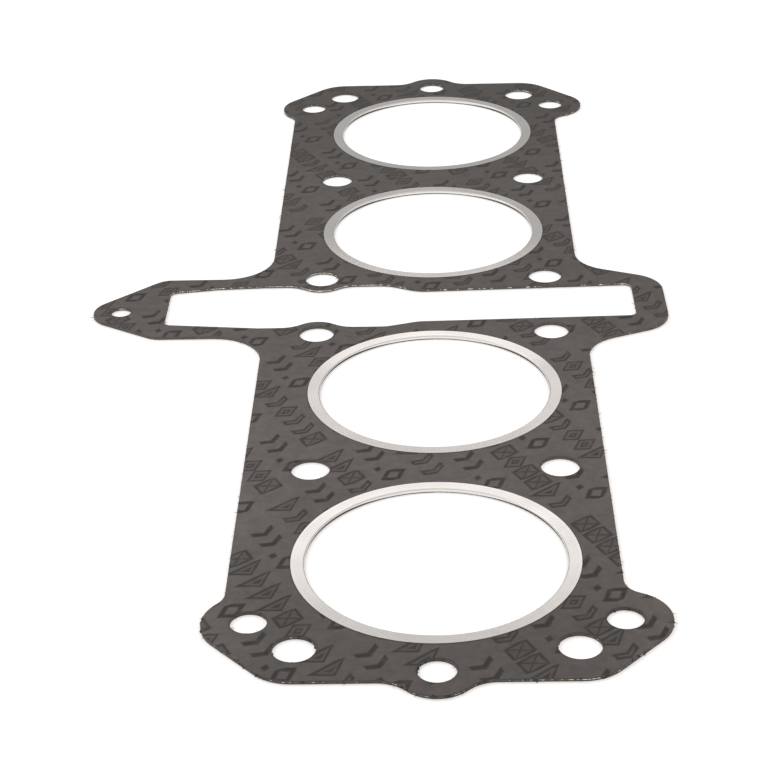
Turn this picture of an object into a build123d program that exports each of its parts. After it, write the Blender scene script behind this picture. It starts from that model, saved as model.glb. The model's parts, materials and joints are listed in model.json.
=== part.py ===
from build123d import *
import os

# Cylinder head gasket for an in-line four-cylinder engine with a middle chain tunnel.
# Frame: millimetres, origin at the centre of the stud pattern on the middle plane of the sheet,
# +Y along the row of bores, +X towards the rounded lobe, +Z up through the sheet.

# Layers
FACING_THICKNESS = 0.42
CORE_THICKNESS = 0.16

# Cylinder bores and their folded steel rings
BORE_PITCH = 92.0
TUNNEL_BORE_PITCH = 115.0
RING_INNER_RADIUS = 34.4
RING_SHEET = 0.15
RING_UPPER_FLANGE = 3.6
RING_LOWER_FLANGE = 3.1
RING_FOLD_RADIUS = 0.35
RING_SEAT_CLEARANCE = 0.30

# Stud holes: steps along the row are measured from the nearest bore's centre
STUD_HOLE_RADIUS = 5.5
TUNNEL_STUD_X = 37.0
TUNNEL_STUD_STEP = 37.5
MIDDLE_STUD_X = 35.0
END_STUD_X = 35.0
END_STUD_STEP = 39.5

# Corner bolt holes, one at each outer corner, set in from the right side of the main block
CORNER_HOLE_RADIUS = 4.75
CORNER_HOLE_INSET = 0.9
CORNER_HOLE_STEP = 28.0

# Tab holes, one at the middle of each end, set in from the straight end edge
TAB_HOLE_RADIUS = 4.95
TAB_HOLE_INSET = 3.7

# Outline of the main block
LEFT_SIDE_WEB = 15.9
RIGHT_SIDE_WEB = 9.9
END_STUD_LAND = 7.5
CORNER_LAND = 7.25
TAB_LAND = 5.15
TAB_BLEND_RADIUS = 10.0
SIDE_BLEND_RADIUS = 6.0

# Chain tunnel slot: its edges slant to the right, and bow out into pockets beside the left studs.
# Insets are measured from the tunnel studs' row towards the middle of the slot.
SLOT_LEFT_X = -86.5
SLOT_RIGHT_X = 64.8
SLOT_LEFT_INSET = 7.8
SLOT_FAR_INSET = 9.1
SLOT_NEAR_INSET = 7.6
SLOT_FAR_SLANT = 2.7
SLOT_NEAR_SLANT = 2.1
SLOT_NARROW_X = -5.0
SLOT_POCKET_INSET = 4.4
SLOT_POCKET_INNER_X = -15.0
SLOT_POCKET_OUTER_X = -56.0
SLOT_SHOULDER_X = -71.0
SLOT_SHOULDER_INSET = 5.3
SLOT_STUD_LAND = 2.9
SLOT_CORNER_RADIUS = 2.5
SLOT_WAVE_RADIUS = 11.0

# Pointed ear round the left end of the slot
EAR_HOLE_RADIUS = 3.3
EAR_HOLE_STEP = 14.8
EAR_HOLE_Y = -2.5
EAR_LAND = 5.5
EAR_WEB = 8.4
EAR_SHOULDER_STEP = 0.5
EAR_SHOULDER_RADIUS = 7.0
EAR_FLARE_RADIUS = 16.0

# Rounded lobe round the right end of the slot
LOBE_END_WEB = 10.0
LOBE_WEB = 6.7
LOBE_ROOT_STEP = 7.3
LOBE_CORNER_RADIUS = 11.8
LOBE_FLARE_RADIUS = 13.5

# Places that follow from the sizes above
SHEET_THICKNESS = 2 * FACING_THICKNESS + CORE_THICKNESS
RING_OUTER_RADIUS = RING_INNER_RADIUS + RING_UPPER_FLANGE
RING_SEAT_RADIUS = RING_INNER_RADIUS + RING_SHEET + RING_SEAT_CLEARANCE
INNER_BORE_Y = TUNNEL_BORE_PITCH / 2
OUTER_BORE_Y = INNER_BORE_Y + BORE_PITCH
TUNNEL_STUD_Y = INNER_BORE_Y - TUNNEL_STUD_STEP
MIDDLE_STUD_Y = INNER_BORE_Y + BORE_PITCH / 2
END_STUD_Y = OUTER_BORE_Y + END_STUD_STEP
CORNER_HOLE_Y = OUTER_BORE_Y + CORNER_HOLE_STEP
END_EDGE_Y = END_STUD_Y + STUD_HOLE_RADIUS + END_STUD_LAND
TAB_HOLE_Y = END_EDGE_Y - TAB_HOLE_INSET
LEFT_SIDE_X = -RING_OUTER_RADIUS - LEFT_SIDE_WEB
RIGHT_SIDE_X = RING_OUTER_RADIUS + RIGHT_SIDE_WEB
CORNER_HOLE_X = RIGHT_SIDE_X - CORNER_HOLE_INSET
SLOT_FAR_Y = TUNNEL_STUD_Y - SLOT_FAR_INSET
SLOT_NEAR_Y = SLOT_NEAR_INSET - TUNNEL_STUD_Y
SLOT_LEFT_HALF_WIDTH = TUNNEL_STUD_Y - SLOT_LEFT_INSET
SLOT_POCKET_Y = TUNNEL_STUD_Y - SLOT_POCKET_INSET
SLOT_SHOULDER_Y = TUNNEL_STUD_Y - SLOT_SHOULDER_INSET
EAR_HOLE_X = SLOT_LEFT_X - EAR_HOLE_STEP
EAR_HALF_WIDTH = SLOT_LEFT_HALF_WIDTH + EAR_WEB
LOBE_REACH_X = SLOT_RIGHT_X + LOBE_END_WEB
LOBE_HALF_WIDTH = SLOT_FAR_Y + SLOT_FAR_SLANT + LOBE_WEB
LOBE_ROOT_HALF_WIDTH = LOBE_HALF_WIDTH + LOBE_ROOT_STEP

BORE_CENTRES = [(0, y) for y in (OUTER_BORE_Y, INNER_BORE_Y, -INNER_BORE_Y, -OUTER_BORE_Y)]
TAB_CENTRES = [(0, TAB_HOLE_Y), (0, -TAB_HOLE_Y)]
EAR_CENTRES = [(EAR_HOLE_X, EAR_HOLE_Y)]


def mirrored_four(x, y):
    """Four places, one in each quarter of the block."""
    return [(x, y), (-x, y), (-x, -y), (x, -y)]


def discs(places, radius):
    """Filled circles of one radius at several places."""
    return [Pos(x, y) * Circle(radius) for x, y in places]


def hull(rounds, lines=()):
    """Tight outline round some discs and straight edges."""
    edges = [edge for disc in rounds for edge in disc.edges()]
    return make_hull(edges + list(lines))


def near(a, b):
    """True for two coordinates that are the same in practice."""
    return abs(a - b) < 1e-4


def blend(face, is_corner, radius):
    """Rounds the sharp corners of a face that a test picks."""
    return fillet([v for v in face.vertices() if is_corner(v)], radius)


def main_block():
    """Straight-sided strip, with a bevelled and rounded end round the studs and corner bolts."""
    width = RIGHT_SIDE_X - LEFT_SIDE_X
    middle_x = (RIGHT_SIDE_X + LEFT_SIDE_X) / 2
    block = Pos(middle_x, 0) * Rectangle(width, 2 * CORNER_HOLE_Y)
    for side in (1, -1):
        stud_ends = discs([(x, side * END_STUD_Y) for x in (END_STUD_X, -END_STUD_X)],
                          STUD_HOLE_RADIUS + END_STUD_LAND)
        corner_ends = discs([(x, side * CORNER_HOLE_Y) for x in (CORNER_HOLE_X, -CORNER_HOLE_X)],
                            CORNER_HOLE_RADIUS + CORNER_LAND)
        block += hull(stud_ends + corner_ends)
    return blend(block, lambda v: near(v.X, LEFT_SIDE_X) or near(v.X, RIGHT_SIDE_X), SIDE_BLEND_RADIUS)


def with_tabs(block):
    """Adds the arched tab round the middle hole of each end."""
    tab_radius = TAB_HOLE_RADIUS + TAB_LAND
    for disc in discs(TAB_CENTRES, tab_radius):
        block += disc
    return blend(block, lambda v: near(abs(v.Y), END_EDGE_Y) and abs(v.X) < tab_radius, TAB_BLEND_RADIUS)


def with_ear(block):
    """Adds the pointed ear, with a long flare into the left side."""
    tip = discs(EAR_CENTRES, EAR_HOLE_RADIUS + EAR_LAND)
    shoulder_x = SLOT_LEFT_X - EAR_SHOULDER_STEP
    shoulder_y = EAR_HALF_WIDTH - EAR_SHOULDER_RADIUS
    shoulders = discs([(shoulder_x, shoulder_y), (shoulder_x, -shoulder_y)], EAR_SHOULDER_RADIUS)
    root = Line((0, EAR_HALF_WIDTH), (0, -EAR_HALF_WIDTH))
    block += hull(tip + shoulders, [root])
    return blend(block, lambda v: near(v.X, LEFT_SIDE_X) and near(abs(v.Y), EAR_HALF_WIDTH), EAR_FLARE_RADIUS)


def with_lobe(block):
    """Adds the rounded lobe, with slanting flares into the right side."""
    corner_x = LOBE_REACH_X - LOBE_CORNER_RADIUS
    corner_y = LOBE_HALF_WIDTH - LOBE_CORNER_RADIUS
    corners = discs([(corner_x, corner_y), (corner_x, -corner_y)], LOBE_CORNER_RADIUS)
    root = Line((RIGHT_SIDE_X, LOBE_ROOT_HALF_WIDTH), (RIGHT_SIDE_X, -LOBE_ROOT_HALF_WIDTH))
    block += hull(corners, [root])
    return blend(block, lambda v: near(v.X, RIGHT_SIDE_X) and near(abs(v.Y), LOBE_ROOT_HALF_WIDTH),
                 LOBE_FLARE_RADIUS)


def tunnel_slot():
    """Long slot with waving edges, which leave a land round each of the two left studs."""
    far_edge = [
        (SLOT_LEFT_X, SLOT_LEFT_HALF_WIDTH),
        (SLOT_SHOULDER_X, SLOT_SHOULDER_Y),
        (SLOT_POCKET_OUTER_X, SLOT_POCKET_Y),
        (SLOT_POCKET_INNER_X, SLOT_POCKET_Y),
        (SLOT_NARROW_X, SLOT_FAR_Y),
        (SLOT_RIGHT_X, SLOT_FAR_Y + SLOT_FAR_SLANT),
    ]
    near_edge = [
        (SLOT_RIGHT_X, SLOT_NEAR_Y + SLOT_NEAR_SLANT),
        (SLOT_NARROW_X, SLOT_NEAR_Y),
        (SLOT_POCKET_INNER_X, -SLOT_POCKET_Y),
        (SLOT_POCKET_OUTER_X, -SLOT_POCKET_Y),
        (SLOT_LEFT_X, -SLOT_LEFT_HALF_WIDTH),
    ]
    slot = make_face(Polyline(*far_edge, *near_edge, close=True))
    left_studs = [(-TUNNEL_STUD_X, TUNNEL_STUD_Y), (-TUNNEL_STUD_X, -TUNNEL_STUD_Y)]
    for land in discs(left_studs, STUD_HOLE_RADIUS + SLOT_STUD_LAND):
        slot -= land
    slot = blend(slot, lambda v: not (near(v.X, SLOT_LEFT_X) or near(v.X, SLOT_RIGHT_X)), SLOT_WAVE_RADIUS)
    return blend(slot, lambda v: near(v.X, SLOT_LEFT_X) or near(v.X, SLOT_RIGHT_X), SLOT_CORNER_RADIUS)


def gasket_outline():
    """The whole sheet as a flat face, with bores, holes and slot cut out."""
    sheet = with_lobe(with_ear(with_tabs(main_block())))
    studs = (mirrored_four(TUNNEL_STUD_X, TUNNEL_STUD_Y) + mirrored_four(MIDDLE_STUD_X, MIDDLE_STUD_Y)
             + mirrored_four(END_STUD_X, END_STUD_Y))
    cuts = discs(BORE_CENTRES, RING_SEAT_RADIUS)
    cuts += discs(studs, STUD_HOLE_RADIUS)
    cuts += discs(mirrored_four(CORNER_HOLE_X, CORNER_HOLE_Y), CORNER_HOLE_RADIUS)
    cuts += discs(TAB_CENTRES, TAB_HOLE_RADIUS)
    cuts += discs(EAR_CENTRES, EAR_HOLE_RADIUS)
    return sheet - cuts - tunnel_slot()


def layer(outline, bottom_z, thickness):
    """One layer of the laminate."""
    return Pos(0, 0, bottom_z) * extrude(outline, amount=thickness)


def ring_section():
    """U-section of a folded ring in the XZ plane, open away from the bore."""
    half = SHEET_THICKNESS / 2
    outer_z = half + RING_SHEET
    wall_x = RING_INNER_RADIUS + RING_SHEET
    lower_x = RING_INNER_RADIUS + RING_LOWER_FLANGE
    corners = [
        (RING_OUTER_RADIUS, half),
        (RING_OUTER_RADIUS, outer_z),
        (RING_INNER_RADIUS, outer_z),
        (RING_INNER_RADIUS, -outer_z),
        (lower_x, -outer_z),
        (lower_x, -half),
        (wall_x, -half),
        (wall_x, half),
    ]
    section = make_face(Polyline(*corners, close=True))
    section = blend(section, lambda v: near(v.X, RING_INNER_RADIUS), RING_FOLD_RADIUS)
    section = blend(section, lambda v: near(v.X, wall_x), RING_FOLD_RADIUS - RING_SHEET)
    return Plane.XZ * section


def bore_ring(place):
    """Folded steel ring, seated over the edge of one bore."""
    return Pos(*place) * revolve(ring_section(), Axis.Z)


os.makedirs("parts", exist_ok=True)
outline = gasket_outline()
core_bottom = -CORE_THICKNESS / 2
pieces = {
    "lower_facing": layer(outline, core_bottom - FACING_THICKNESS, FACING_THICKNESS),
    "steel_core": layer(outline, core_bottom, CORE_THICKNESS),
    "upper_facing": layer(outline, core_bottom + CORE_THICKNESS, FACING_THICKNESS),
}
for number, centre in enumerate(BORE_CENTRES, start=1):
    pieces[f"bore_ring_{number}"] = bore_ring(centre)
for name, piece in pieces.items():
    export_step(piece, f"parts/{name}.step")
    print(name, "volume", round(piece.volume, 1), "mm3")
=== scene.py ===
"""Looks of a cylinder head gasket: printed fibre facings, a steel core in the cut edges, folded bore rings."""
import json
import logging
import math
from dataclasses import dataclass
from enum import Enum

import bmesh
import bpy
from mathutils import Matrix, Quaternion, Vector

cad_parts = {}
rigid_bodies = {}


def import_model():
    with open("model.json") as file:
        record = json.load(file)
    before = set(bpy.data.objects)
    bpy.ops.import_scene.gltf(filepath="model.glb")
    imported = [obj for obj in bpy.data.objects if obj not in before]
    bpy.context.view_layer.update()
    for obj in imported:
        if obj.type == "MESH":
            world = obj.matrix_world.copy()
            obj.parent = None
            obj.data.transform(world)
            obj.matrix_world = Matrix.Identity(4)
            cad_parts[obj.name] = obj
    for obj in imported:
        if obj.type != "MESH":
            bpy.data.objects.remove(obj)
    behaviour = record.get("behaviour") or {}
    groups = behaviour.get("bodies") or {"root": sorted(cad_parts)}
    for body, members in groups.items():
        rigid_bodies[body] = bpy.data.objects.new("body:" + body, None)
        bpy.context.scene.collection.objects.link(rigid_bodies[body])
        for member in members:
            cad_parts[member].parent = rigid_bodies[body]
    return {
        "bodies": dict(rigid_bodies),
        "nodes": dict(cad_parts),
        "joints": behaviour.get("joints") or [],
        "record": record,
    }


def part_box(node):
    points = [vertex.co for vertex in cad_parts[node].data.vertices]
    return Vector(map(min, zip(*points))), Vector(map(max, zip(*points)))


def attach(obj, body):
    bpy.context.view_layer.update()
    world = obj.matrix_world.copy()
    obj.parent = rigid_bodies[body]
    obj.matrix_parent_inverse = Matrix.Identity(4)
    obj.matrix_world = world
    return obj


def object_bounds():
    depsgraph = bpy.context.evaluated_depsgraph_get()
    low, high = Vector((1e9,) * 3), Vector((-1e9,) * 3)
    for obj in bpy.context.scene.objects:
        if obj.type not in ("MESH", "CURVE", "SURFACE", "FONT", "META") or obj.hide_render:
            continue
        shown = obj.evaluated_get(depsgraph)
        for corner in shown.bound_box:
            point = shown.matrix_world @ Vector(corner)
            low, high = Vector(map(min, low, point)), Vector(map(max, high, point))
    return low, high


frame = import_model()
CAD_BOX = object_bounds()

log = logging.getLogger("gasket")
MM = 0.001
FULL_TURN = 6.3  # radians, rounded up
MERGE_DISTANCE = 1e-6  # metres
WALL_LEAN = 0.5  # the normal of a cut wall has less than this in z

Colour = tuple[float, float, float, float]
Vector3 = tuple[float, float, float]
Span = tuple[float, float]


def tone(red: float, green: float, blue: float) -> Colour:
    """A surface colour from its linear red, green and blue."""
    return (red, green, blue, 1.0)


class Wire:
    """A number socket that takes part in Python arithmetic, adding Math nodes as it goes."""

    def __init__(self, tree: "Tree", socket: bpy.types.NodeSocket) -> None:
        """Keeps the tree and the socket that the number comes from."""
        self.tree = tree
        self.socket = socket

    def __add__(self, other: "Number") -> "Wire":
        """self + other."""
        return self.tree.maths("ADD", self, other)

    def __sub__(self, other: "Number") -> "Wire":
        """self - other."""
        return self.tree.maths("SUBTRACT", self, other)

    def __rsub__(self, other: "Number") -> "Wire":
        """other - self."""
        return self.tree.maths("SUBTRACT", other, self)

    def __mul__(self, other: "Number") -> "Wire":
        """self * other."""
        return self.tree.maths("MULTIPLY", self, other)

    def __truediv__(self, other: "Number") -> "Wire":
        """self / other."""
        return self.tree.maths("DIVIDE", self, other)

    def __rtruediv__(self, other: "Number") -> "Wire":
        """other / self."""
        return self.tree.maths("DIVIDE", other, self)

    def __abs__(self) -> "Wire":
        """abs(self)."""
        return self.tree.maths("ABSOLUTE", self)

    def __gt__(self, other: "Number") -> "Wire":
        """1 where self is greater than other, else 0."""
        return self.tree.maths("GREATER_THAN", self, other)

    def __lt__(self, other: "Number") -> "Wire":
        """1 where self is less than other, else 0."""
        return self.tree.maths("LESS_THAN", self, other)

    def floor(self) -> "Wire":
        """The whole number below."""
        return self.tree.maths("FLOOR", self)

    def root(self) -> "Wire":
        """The square root."""
        return self.tree.maths("SQRT", self)

    def wrap(self, period: float) -> "Wire":
        """The number within its period, from 0 to the period."""
        return self.tree.maths("WRAP", self, period, 0.0)

    def low(self, other: "Number") -> "Wire":
        """The lesser of two."""
        return self.tree.maths("MINIMUM", self, other)

    def high(self, other: "Number") -> "Wire":
        """The greater of two."""
        return self.tree.maths("MAXIMUM", self, other)

    def ramp(self, start: float, end: float) -> "Wire":
        """A soft step from 0 at start to 1 at end, where end may be the lesser."""
        return self.tree.node("ShaderNodeMapRange", {"interpolation_type": "SMOOTHSTEP", "clamp": True},
                              {"Value": self, "From Min": start, "From Max": end})

    __radd__ = __add__
    __rmul__ = __mul__


Number = Wire | float


class Tree:
    """A node tree that is built from expressions and one node method."""

    def __init__(self, tree: bpy.types.NodeTree) -> None:
        """Keeps the tree that nodes are added to."""
        self.tree = tree

    def node(self, kind: str, settings: dict | None = None, sockets: dict | None = None,
             output: int | str = 0) -> Wire:
        """Adds a node.

        Args:
            kind: The node's Blender type.
            settings: Properties, which are set before the sockets.
            sockets: Values or links, by the input's name or number.
            output: The output to take, by name or number.

        Returns:
            The output as a wire.
        """
        made = self.tree.nodes.new(kind)
        for name, value in (settings or {}).items():
            setattr(made, name, value)
        for name, value in (sockets or {}).items():
            self.feed(made.inputs[name], value)
        return Wire(self, made.outputs[output])

    def feed(self, socket: bpy.types.NodeSocket, value: object) -> None:
        """Links a wire to an input, or sets the input's own value.

        Args:
            socket: The input.
            value: A wire, or a plain value.
        """
        if isinstance(value, Wire):
            self.tree.links.new(value.socket, socket)
        else:
            socket.default_value = value

    def maths(self, operation: str, *values: Number) -> Wire:
        """One Math node on up to three numbers."""
        return self.node("ShaderNodeMath", {"operation": operation}, dict(enumerate(values)))

    def vector(self, operation: str, *values: object, output: int | str = 0) -> Wire:
        """One Vector Math node on up to three vectors."""
        return self.node("ShaderNodeVectorMath", {"operation": operation}, dict(enumerate(values)), output)

    def scaled(self, vector: object, factor: Number) -> Wire:
        """A vector times a number.

        Args:
            vector: The vector, as a wire or three numbers.
            factor: What it is multiplied by.

        Returns:
            The longer or shorter vector.
        """
        made = self.vector("SCALE", vector)
        self.feed(made.socket.node.inputs["Scale"], factor)
        return made

    def joined(self, x: Number, y: Number, z: Number) -> Wire:
        """A vector from three numbers."""
        return self.node("ShaderNodeCombineXYZ", {}, {"X": x, "Y": y, "Z": z})

    def split(self, vector: Wire) -> tuple[Wire, Wire, Wire]:
        """The three numbers of a vector.

        Args:
            vector: The vector.

        Returns:
            Its x, y and z.
        """
        made = self.tree.nodes.new("ShaderNodeSeparateXYZ")
        self.feed(made.inputs[0], vector)
        return tuple(Wire(self, made.outputs[axis]) for axis in "XYZ")

    def blend(self, factor: Number, first: object, second: object, kind: str = "MIX") -> Wire:
        """A colour mixed from two others."""
        return self.node("ShaderNodeMix", {"data_type": "RGBA", "blend_type": kind},
                         {0: factor, 6: first, 7: second}, 2)

    def noise(self, place: Wire, scale: float, detail: float = 2.0, roughness: float = 0.5) -> Wire:
        """Cloudy noise round 0.5, at so many features a unit of place."""
        return self.node("ShaderNodeTexNoise", {"noise_dimensions": "3D"},
                         {"Vector": place, "Scale": scale, "Detail": detail, "Roughness": roughness})


class Swell(Enum):
    """The sheet's slight waves, each rising towards the far end.

    Each has the line of its steepest place, the distance from there to level ground, the tilt in degrees, and the
    distance on the near side at which it ends, in millimetres.
    """

    NEAR = (-75.0, 65.0, 1.1, -200.0)
    SLOT = (5.0, 50.0, 3.4, -50.0)


class Paint(Tree):
    """A material's tree, with the object's own coordinates in millimetres."""

    def __init__(self, name: str, constants: dict[str, object]) -> None:
        """Makes the material.

        Args:
            name: The finish's name.
            constants: What is the same all over, by the shader's socket.
        """
        self.material = bpy.data.materials.new(name)
        self.material.use_nodes = True
        super().__init__(self.material.node_tree)
        self.shader = self.tree.nodes["Principled BSDF"]
        for socket, value in constants.items():
            self.shader.inputs[socket].default_value = value
        coordinates = self.node("ShaderNodeTexCoord", {}, {}, "Object")
        self.place = self.scaled(coordinates, 1 / MM)
        self.x, self.y, self.z = self.split(self.place)
        self.wave = self.swell(Swell.NEAR) + self.swell(Swell.SLOT)
        self.normal = self.node("ShaderNodeNewGeometry", {}, {}, "Normal")
        self.facing_up = abs(self.split(self.normal)[2])

    def swell(self, swell: Swell) -> Wire:
        """The height of one slight wave of the sheet.

        Args:
            swell: The wave.

        Returns:
            The height in millimetres, which only the shading shows.
        """
        centre, half, tilt, start = swell.value
        past = (self.y - centre).high(start).low(half)
        return (past - past * past * past / (3 * half * half)) * math.tan(math.radians(tilt))

    def finish(self, colour: Wire, roughness: Number, relief: Wire | None = None, depth: float = 1.0,
               metallic: Number = 0.0, normal: Wire | None = None) -> bpy.types.Material:
        """Feeds the shader.

        Args:
            colour: The base colour.
            roughness: The surface's roughness.
            relief: The height of the surface in millimetres.
            depth: How strongly the relief shows.
            metallic: 1 for bare metal.
            normal: The direction of the surface under the relief, where it isn't the mesh's own.

        Returns:
            The finished material.
        """
        self.feed(self.shader.inputs["Base Color"], colour)
        self.feed(self.shader.inputs["Roughness"], roughness)
        self.feed(self.shader.inputs["Metallic"], metallic)
        if relief is not None:
            under = {} if normal is None else {"Normal": normal}
            bump = self.node("ShaderNodeBump", {}, {"Strength": depth, "Distance": MM, "Height": relief, **under})
            self.feed(self.shader.inputs["Normal"], bump)
        return self.material


@dataclass(frozen=True)
class NoiseLayer:
    """One layer of cloudy noise: features a millimetre, octaves, their roughness, and how much it counts."""

    scale: float
    detail: float
    roughness: float
    weight: float = 1.0

    def over(self, paint: Paint) -> Wire:
        """The noise over a surface, round 0.5."""
        return paint.noise(paint.place, self.scale, self.detail, self.roughness)


@dataclass(frozen=True)
class StretchedNoise:
    """Noise whose features are longer one way than the others."""

    size: Vector3
    detail: float
    roughness: float

    def over(self, paint: Paint) -> Wire:
        """The noise over a surface, round 0.5."""
        return paint.noise(paint.vector("MULTIPLY", paint.place, self.size), 1.0, self.detail, self.roughness)


@dataclass(frozen=True)
class TurnedLines:
    """Fine lines that go all the way round a bore."""

    outwards: float
    upwards: float
    detail: float
    roughness: float

    def over(self, paint: Paint, radius: Wire) -> Wire:
        """The lines over a ring.

        Args:
            paint: The rings' material.
            radius: How far each point is from the axis of its bore.

        Returns:
            Noise round 0.5 that is the same all the way round the bore.
        """
        place = paint.joined(radius * self.outwards, paint.z * self.upwards, 0.0)
        return paint.noise(place, 1.0, self.detail, self.roughness)


# Where the cut walls turn brown and their steel is sheared bright.
PATCHES = NoiseLayer(0.022, 2.0, 0.5)


@dataclass(frozen=True)
class HoleRow:
    """Holes of one size that mirror each other across the middle of the sheet, in millimetres."""

    x: float
    y: float
    radius: float


@dataclass(frozen=True)
class SheetPlan:
    """Where the bores and holes of the sheet are, in millimetres, as the record's mounts say."""

    rows: tuple[HoleRow, ...]
    ear: HoleRow
    bore_middle: float
    bore_half_pitch: float
    bore_radius: float
    ring_radius: float
    ring_half: float
    sheet_half: float
    core_half: float
    fold_radius: float = 0.35

    @classmethod
    def from_frame(cls, packed: dict) -> "SheetPlan":
        """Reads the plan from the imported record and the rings' boxes.

        Args:
            packed: The loaded frame.

        Returns:
            The plan in millimetres.
        """
        mounts = {mount["name"]: mount for mount in packed["record"]["mounts"]}
        rows = tuple(
            HoleRow(sizes.get("spacing_x_mm", 0.0) / 2, sizes["spacing_y_mm"] / 2, sizes["hole_r_mm"])
            for sizes in (mounts[name]["dims"] for name in
                          ("tunnel_studs", "middle_studs", "end_studs", "corner_bolts", "tab_bolts"))
        )
        ear_x, ear_y, _ = mounts["ear_bolt"]["pos_m"]
        ear = HoleRow(ear_x / MM, ear_y / MM, mounts["ear_bolt"]["dims"]["r_mm"])
        outer, inner = (mounts[name]["pos_m"][1] / MM for name in ("cylinder_bore_1", "cylinder_bore_2"))
        low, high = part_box("bore_ring_1")
        return cls(rows, ear, (outer + inner) / 2, (outer - inner) / 2, mounts["cylinder_bore_1"]["dims"]["r_mm"],
                   (high.x - low.x) / 2 / MM, high.z / MM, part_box("upper_facing")[1].z / MM,
                   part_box("steel_core")[1].z / MM)

    def bore_distance(self, paint: Paint) -> Wire:
        """How far a point is from the axis of its nearest bore."""
        along = abs(abs(paint.y) - self.bore_middle) - self.bore_half_pitch
        return (paint.x * paint.x + along * along).root()

    def fold_direction(self, paint: Paint, radius: Wire) -> Wire:
        """Which way a ring's wall and folds face, smooth across their small facets.

        Args:
            paint: The ring's material.
            radius: How far each point is from the axis of its bore.

        Returns:
            The direction on the bore's side of the flanges, and the mesh's own on the rest.
        """
        beyond = abs(paint.y) - self.bore_middle
        side = paint.maths("SIGN", paint.y) * paint.maths("SIGN", beyond)
        inward = (radius - self.bore_radius - self.fold_radius).low(0.0) / radius
        rise = (abs(paint.z) - self.ring_half + self.fold_radius).high(0.0) * paint.maths("SIGN", paint.z)
        curved = paint.joined(paint.x * inward, side * (abs(beyond) - self.bore_half_pitch) * inward, rise)
        on_fold = radius < self.bore_radius + self.fold_radius
        return paint.node("ShaderNodeMix", {"data_type": "VECTOR"},
                          {0: on_fold, 4: paint.normal, 5: paint.vector("NORMALIZE", curved)}, 1)

    def rim_distance(self, paint: Paint) -> Wire:
        """How far a point is outside the edge of its nearest hole.

        Args:
            paint: The facing's material.

        Returns:
            The distance in millimetres, below 0 inside a hole.
        """
        quarter = paint.joined(abs(paint.x), abs(paint.y), 0.0)
        whole = paint.joined(paint.x, paint.y, 0.0)
        nearest = paint.vector("DISTANCE", whole, (self.ear.x, self.ear.y, 0), output="Value") - self.ear.radius
        for row in self.rows:
            gap = paint.vector("DISTANCE", quarter, (row.x, row.y, 0), output="Value") - row.radius
            nearest = nearest.low(gap)
        return nearest


class BoldMark(Enum):
    """The plain shapes of a bold row, in the order that they repeat."""

    FIRST_CHEVRON = 0
    SECOND_CHEVRON = 1
    DOT = 2
    LOZENGE = 3


class OpenMark(Enum):
    """The plain shapes of an outlined row, each with the share of cells up to which it is drawn."""

    CROSSED_BOX = 0.22
    ARROWHEAD = 0.45
    WIDE_CHEVRON = 0.72
    DOUBLE_LOZENGE = 1.0


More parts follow.
